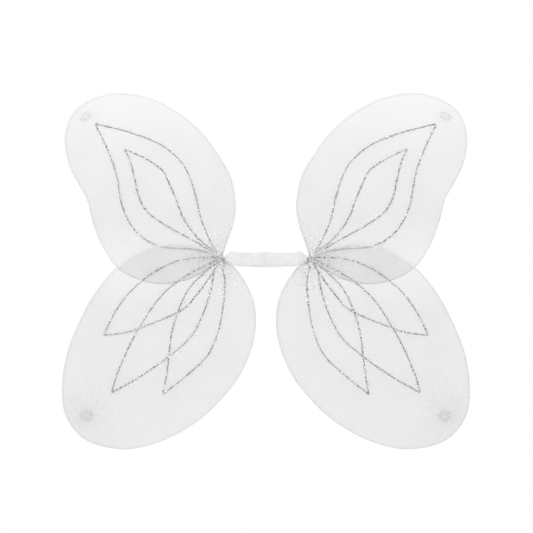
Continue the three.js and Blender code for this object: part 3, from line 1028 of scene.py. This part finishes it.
def tip_knot(side, kind):
    """The net's closed end, drawn up into a bun behind the wing and bound with thread."""
    node = f"{side}_{kind}_tip_knot"
    low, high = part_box(node)
    rise = high[1] - low[1]
    around = 96
    angle = np.arange(around) * 2 * math.pi / around
    fold = 0.09 * np.sin(13 * angle + 0.8 * np.sin(3 * angle)) + 0.05 * np.sin(29 * angle + 1)
    # From the net outwards: the share of the oval's size and of the node's height
    profile = [
        (0.10, 0.0), (0.42, 0.0), (0.62, 0.02), (0.70, 0.12), (0.66, 0.24), (0.78, 0.34),
        (0.95, 0.48), (1.0, 0.62), (0.93, 0.78), (0.78, 0.90), (0.58, 0.96), (0.36, 0.93),
        (0.18, 0.86), (0.07, 0.80),
    ]
    rows = []
    for share, height in profile:
        reach = share * (1 + fold * min(1.0, share * 1.3))
        row = on_wing(side, kind, on_oval(kind, reach, angle))
        row[:, 1] = low[1] + height * (1 + 0.5 * fold * share) * rise
        rows.append(row)
    faces = swept_faces(len(rows), around)
    bun = outward(mesh_piece(node + "_bun", np.vstack(rows), faces, BUNCHED[kind]))
    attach(bun, wing_body(side, kind))
    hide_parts(node)
    turns = 4
    waist = 0.71  # the bun's share of its full size where it is bound
    angle = np.linspace(0, turns * 2 * math.pi, turns * 40)
    line = on_wing(side, kind, on_oval(kind, waist, angle))
    line[:, 1] = low[1] + (0.08 + 0.18 * angle / angle[-1]) * rise
    wound = swept_piece(node + "_thread", line, circle(KNOT_THREAD * MM, 6), THREAD)
    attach(wound, wing_body(side, kind))


def root_tie(side, kind):
    """Thread wound over the net's root and the frame wire's two tails."""
    node = f"{side}_{kind}_root_tie"
    low, high = (np.array(corner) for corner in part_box(node))
    centre, half = (low + high) / 2, (high - low) / 2
    radius = TIE_THREAD * MM
    turns = 8
    angle = np.linspace(0, turns * 2 * math.pi, turns * 28)
    along = np.linspace(-1, 1, len(angle)) + 0.05 * np.sin(angle * 0.37)
    line = centre + np.stack([along, *squared(angle, 0.75)], axis=1) * (half - radius)
    wound = swept_piece(node + "_winding", line, circle(radius, 6), THREAD, up=(1, 0, 0))
    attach(wound, wing_body(side, kind))
    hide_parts(node)


# ---------------------------------------------------------------- padded band

BAND_STATIONS = 130  # rows along one half
BAND_AROUND = 120
BAND_WALL = 0.55
BAND_END = 50.0  # where the gathered sleeve ends, over the root ties
FULL_TO = 39.0  # and where it starts to draw in
BAND_SAG = 0.8  # how much lower the band hangs in its middle
END_TOP, END_BOTTOM, END_DEPTH = 3.6, 3.4, 5.7  # half sizes of its end


def bulge(x, centre, width):
    """1 at the centre, fading to both sides."""
    return np.exp(-(((x - centre) / width) ** 2))


def band_half(side):
    """Half of the band's sleeve, from the middle seam to its gathered end over the ties."""
    sign = SIDES[side]
    half_height, half_depth = BAND_HEIGHT / MM / 2, BAND_DEPTH / MM / 2
    angle = np.arange(BAND_AROUND) * 2 * math.pi / BAND_AROUND
    upward = np.sin(angle)
    phase = {"left": 0.0, "right": 1.7}[side]
    outer, inner = [], []
    for x in BAND_END * np.linspace(0, 1, BAND_STATIONS) ** 0.8:
        # The top is proud at the middle and before the end, with a shallow dip between them
        top = half_height - 0.35 + 1.3 * bulge(x, 42.0, 4.5)
        top += 0.3 * bulge(x, 0, 5.0) - 0.15 * eased(x, 8, 16) * (1 - eased(x, 26, 36))
        top += 0.08 * math.sin(x / 3.1 + phase)
        top += (END_TOP - top) * np.clip((x - 42.5) / 8.0, 0, 1)
        bottom = half_height + BAND_SAG - 1.1 * eased(x, 8, 38)
        bottom += 0.08 * math.sin(x / 3.7 + 2 * phase)
        bottom += (END_BOTTOM - bottom) * np.clip((x - 37.0) / 10.0, 0, 1)
        taper = eased(x, FULL_TO, 49.0)
        deep = half_depth + 0.05 + 0.12 * math.sin(x / 4.3 + phase)
        deep += (END_DEPTH - deep) * taper
        # What stands proud of that all round: pleats, less the seam and a crease, and the hem
        gather = eased(x, 36, 48)
        wide_pleats = 0.32 * np.sin(15 * angle + 0.04 * x)
        pleat = gather * (wide_pleats + 0.16 * np.sin(31 * angle + x / 9))
        seam = 0.1 * bulge(x, 0, 0.7)
        crease = 0.3 * bulge(x, 38 + 2.5 * np.sin(angle + phase), 1.6)
        proud = pleat - seam - crease + 0.35 * eased(x, 48.8, BAND_END)
        height = np.where(upward > 0, top, bottom)
        shape_y, shape_z = squared(angle, 0.55 + 0.40 * taper)
        wall = BAND_WALL * (1 - 0.35 * gather)
        for rows, outset in ((outer, proud), (inner, proud - wall)):
            ring = [np.full(BAND_AROUND, x), shape_y * (deep + outset), shape_z * (height + outset)]
            rows.append(np.stack(ring, axis=1))
    rows = outer + inner[::-1]
    points = np.vstack(rows) * MM
    points[:, 0] *= sign
    points[:, 1] += BAND_MIDDLE
    faces = grid_faces(len(rows), BAND_AROUND, around=True)
    last = (len(rows) - 1) * BAND_AROUND
    for k in range(BAND_AROUND):
        n = (k + 1) % BAND_AROUND
        faces.append((last + k, last + n, n, k))
    sleeve = outward(mesh_piece(f"{side}_band_sleeve", points, faces, FLEECE))
    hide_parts("band_sleeve")
    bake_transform(sleeve)


def band_seam():
    """Whip stitches that join the two halves of the sleeve round the middle of the band."""
    half_height, half_depth = BAND_HEIGHT / MM / 2, BAND_DEPTH / MM / 2
    runs = []
    for c, s in zip(*squared(np.linspace(0, 2 * math.pi, 44, endpoint=False), 0.55)):
        y = c * (half_depth - 0.1) * MM + BAND_MIDDLE
        height = half_height if s > 0 else half_height + BAND_SAG
        z = s * (height - 0.12) * MM
        runs.append([(-0.5 * MM, y, z), (0.5 * MM, y, z + 0.25 * MM)])
    stitching("band_middle_seam", runs, radius=SEAM_THREAD)


# ---------------------------------------------------------------- arm loops, tape and patch

TAPE_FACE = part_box("strap_tape")[1][1] / MM
ELASTIC_WIDTH = extent("strap_tape", 2) / MM
ELASTIC_THICK = extent("strap_tape", 1) / MM
# An arm loop's route from one sewn-down end to the other: millimetres outward from the band's
# middle and towards the wearer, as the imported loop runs
LOOP = [
    (15.5, TAPE_FACE + 0.65), (12.6, TAPE_FACE + 0.65), (10.2, TAPE_FACE + 0.8),
    (8.5, TAPE_FACE + 2.1), (8, 4), (8, 22.4), (6, 50), (6.5, 75.8), (12, 91.4), (20, 96),
    (28, 91.4), (33, 75.8), (32.5, 50), (32, 22.4), (32, 4), (31.5, TAPE_FACE + 2.1),
    (29.8, TAPE_FACE + 0.8), (27.4, TAPE_FACE + 0.65), (24.5, TAPE_FACE + 0.65),
]


def ribbon(name, line, up):
    """Woven elastic along a line of points in metres: nine covered cords lie side by side."""
    per_face = 46
    w = np.linspace(-1, 1, per_face)
    grooves = 0.12 * np.abs(np.sin(4.5 * math.pi * w)) ** 3
    thick = ELASTIC_THICK / 2 - grooves - 0.3 * np.abs(w) ** 16
    wide = w * ELASTIC_WIDTH / 2
    section = MM * np.concatenate(
        [np.stack([wide, thick], axis=1), np.stack([wide[::-1], -thick[::-1]], axis=1)]
    )
    faces = swept_faces(len(line), len(section))
    piece = mesh_piece(name, swept(line, section, up), faces, ELASTIC)
    across = np.tile(section[:, 0], len(line))
    map_piece(piece, "weave", np.stack([across, np.repeat(lengths(line), len(section))], axis=1))
    outward(piece)
    return piece


def arm_loop(side):
    sign = SIDES[side]
    drawn = smooth(LOOP, 10) * MM
    line = np.stack([sign * drawn[:, 0], drawn[:, 1], np.zeros(len(drawn))], axis=1)
    loop = ribbon(f"{side}_loop_elastic", line, (0, 0, 1))
    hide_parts(f"{side}_arm_loop")
    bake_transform(loop)
    top = (TAPE_FACE + 0.65 + ELASTIC_THICK / 2) * MM
    reach = ELASTIC_WIDTH / 2 - 1.2
    runs = []
    for near, far in ((11.2, 14.8), (25.2, 28.8)):
        box = [(near, -reach), (far, -reach), (far, reach), (near, reach), (near, -reach)]
        cross = [(near, -reach), (far, reach)], [(near, reach), (far, -reach)]
        for path in (box, *cross):
            placed = np.array([(sign * x * MM, top, z * MM) for x, z in path])
            runs += dashes(placed, 1.3 * MM)
    stitching(f"{side}_loop_stitching", runs)


def strap_tape():
    low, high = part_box("strap_tape")
    middle_y = (low[1] + high[1]) / 2
    line = np.linspace((low[0], middle_y, 0), (high[0], middle_y, 0), 90)
    tape = ribbon("loop_tape", line, (0, 0, 1))
    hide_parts("strap_tape")
    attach(tape, "band")
    runs = []
    face = high[1] - 0.04 * MM
    for edge in (-1, 1):
        z = edge * (ELASTIC_WIDTH / 2 - 1.1) * MM
        places = np.arange(low[0] + 1.5 * MM, high[0] - 1.5 * MM, 1.5 * MM)
        zigzag = [(x, face, z + (0.45 if k % 2 else -0.45) * MM) for k, x in enumerate(places)]
        runs += [[zigzag[k], zigzag[k + 1]] for k in range(len(zigzag) - 1)]
    stitching("loop_tape_stitching", runs)


def back_patch():
    """A felt patch sewn over the middle of the tape, with softly worn edges."""
    low, high = (np.array(corner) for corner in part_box("back_patch"))
    half = (high[0] - low[0]) / 2
    around = 88
    angle = np.arange(around) * 2 * math.pi / around
    fuzz = 0.012 * np.sin(9 * angle) + 0.008 * np.sin(23 * angle + 1)
    shape_x, shape_z = squared(angle, 0.45)
    # From the band outwards: the share of the half width and of the thickness
    profile = [
        (0.0, 0.02), (0.5, 0.0), (0.9, 0.03), (0.97, 0.2), (1.0, 0.45), (0.975, 0.7),
        (0.93, 0.86), (0.86, 0.93), (0.78, 0.86), (0.7, 0.95), (0.45, 1.0), (0.0, 1.0),
    ]
    rows = []
    for share, height in profile:
        reach = max(share, 0.02) * half * (1 + fuzz)
        y = low[1] + height * (high[1] - low[1])
        rows.append(np.stack([shape_x * reach, np.full(around, y), shape_z * reach], axis=1))
    faces = swept_faces(len(rows), around)
    patch = outward(mesh_piece("felt_patch", np.vstack(rows), faces, FELT))
    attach(patch, "band")
    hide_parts("back_patch")
    reach = 0.8 * half
    face = low[1] + 0.9 * (high[1] - low[1])
    square = [(-reach, -reach), (reach, -reach), (reach, reach), (-reach, reach), (-reach, -reach)]
    placed = np.array([(x, face, z) for x, z in square])
    stitching("felt_patch_stitching", dashes(placed, 1.4 * MM))


# ---------------------------------------------------------------- making it all

for side in SIDES:
    for kind in ("upper", "lower"):
        frame_wire(side, kind)
        net(side, kind)
        glitter(side, kind)
        tip_knot(side, kind)
        root_tie(side, kind)
    band_half(side)
    arm_loop(side)
band_seam()
strap_tape()
back_patch()

KEPT = {
    "foam_core": WADDING,
    "left_wire_crimp": CRIMP,
    "right_wire_crimp": CRIMP,
    "upper_spine_wire_top": WIRE,
    "upper_spine_wire_bottom": WIRE,
    "lower_spine_wire_top": WIRE,
    "lower_spine_wire_bottom": WIRE,
}
for node, material in KEPT.items():
    for material_slot in bpy.data.objects[node].material_slots:
        material_slot.material = material
